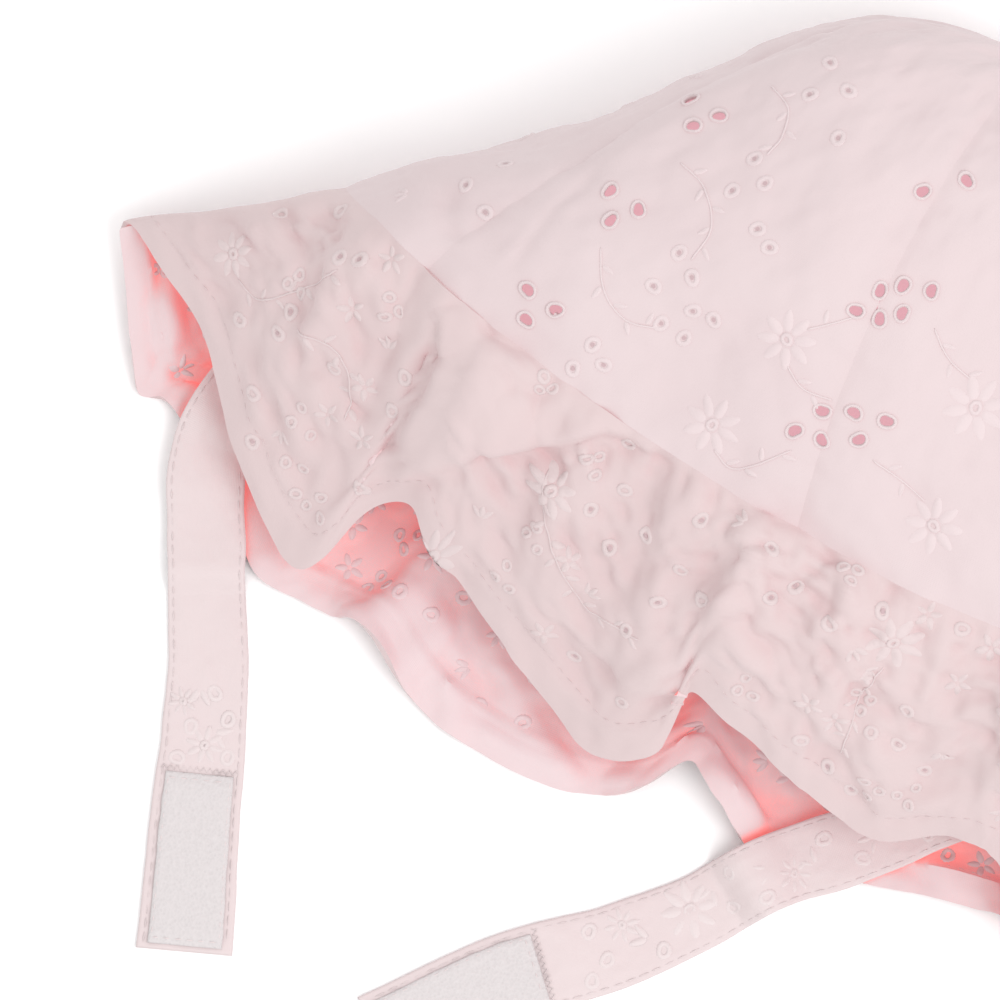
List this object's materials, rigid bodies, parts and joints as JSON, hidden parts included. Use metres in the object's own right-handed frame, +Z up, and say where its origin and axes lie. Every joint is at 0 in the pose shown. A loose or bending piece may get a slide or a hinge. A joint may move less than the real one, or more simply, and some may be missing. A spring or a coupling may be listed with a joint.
{
  "type": "baby sun hat with chin straps",
  "caption": "Soft panelled baby sun hat in pale pink eyelet cotton, with a gathered floppy brim and two chin straps with fastening patches, lying on its back.",
  "frame": {"origin": "on the surface that the hat lies on, under the middle of the whole hat's box", "axes": "+X to the right across the hat, +Y from the open brim to the top of the crown, +Z up from the surface"},
  "size_m": [0.2954, 0.242, 0.0715],
  "materials": {
    "crown_cotton": "pale pink plain-weave cotton with raised embroidery",
    "brim_cotton": "pale pink plain-weave cotton, gathered, with a stitched hem",
    "strap_cotton": "pale pink cotton, doubled and stitched",
    "fastener_tape": "matt white hook and loop tape"
  },
  "bodies": {
    "root": {"crown_panel_front_left": "crown_cotton", "crown_panel_front_right": "crown_cotton", "crown_panel_side_left": "crown_cotton", "crown_panel_side_right": "crown_cotton", "crown_panel_back_left": "crown_cotton", "crown_panel_back_right": "crown_cotton", "brim": "brim_cotton", "strap_left": "strap_cotton", "strap_right": "strap_cotton", "patch_left": "fastener_tape", "patch_right": "fastener_tape"}
  },
  "joints": []
}
